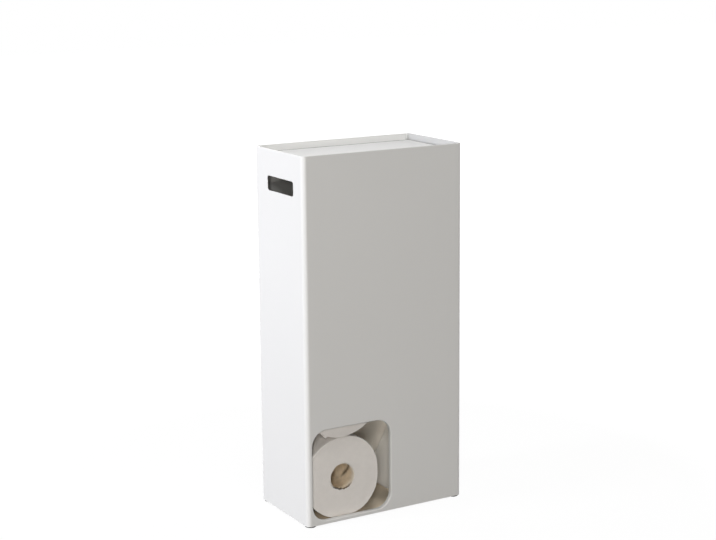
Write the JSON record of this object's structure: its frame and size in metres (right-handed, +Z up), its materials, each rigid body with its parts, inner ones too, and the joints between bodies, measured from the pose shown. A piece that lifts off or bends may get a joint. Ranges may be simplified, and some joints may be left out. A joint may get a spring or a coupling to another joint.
{
  "type": "toilet paper stand",
  "caption": "Slim upright sheet-steel box that stores spare toilet rolls: lift-off tray lid, hand slots in the sides and a rounded window at the bottom where the next roll waits.",
  "frame": {"origin": "on the ground at the middle of the footprint", "axes": "+Z up; the front with the window faces -Y and the window is on the -X side; +X to the right seen from the front"},
  "size_m": [0.255, 0.14, 0.52],
  "materials": {
    "body_steel": "matt white powder coat with a fine texture",
    "tray_steel": "matt white powder coat with a fine texture",
    "foot_rubber": "dark matt foam rubber",
    "roll_paper": "soft wound tissue with a light emboss",
    "roll_core": "plain spiral-wound board"
  },
  "bodies": {
    "stand": {"front_shell": "body_steel", "back_panel": "body_steel", "floor_pan": "body_steel", "guide_plate": "body_steel", "tray_support_front_left": "body_steel", "tray_support_front_right": "body_steel", "tray_support_back_left": "body_steel", "tray_support_back_right": "body_steel", "foot_front_left": "foot_rubber", "foot_front_right": "foot_rubber", "foot_back_left": "foot_rubber", "foot_back_right": "foot_rubber"},
    "tray": {"tray": "tray_steel"},
    "lower_roll": {"lower_roll_paper": "roll_paper", "lower_roll_core": "roll_core"},
    "upper_roll": {"upper_roll_paper": "roll_paper", "upper_roll_core": "roll_core"}
  },
  "joints": [
    {"name": "tray_lift", "type": "slide", "parent": "stand", "child": "tray", "axis": [0, 0, 1], "range_m": [0, 0.14]},
    {"name": "lower_roll_shift", "type": "slide", "parent": "stand", "child": "lower_roll", "axis": [1, 0, 0], "range_m": [0, 0.074]},
    {"name": "upper_roll_lift", "type": "slide", "parent": "stand", "child": "upper_roll", "axis": [0, 0, 1], "range_m": [0, 0.26]}
  ]
}
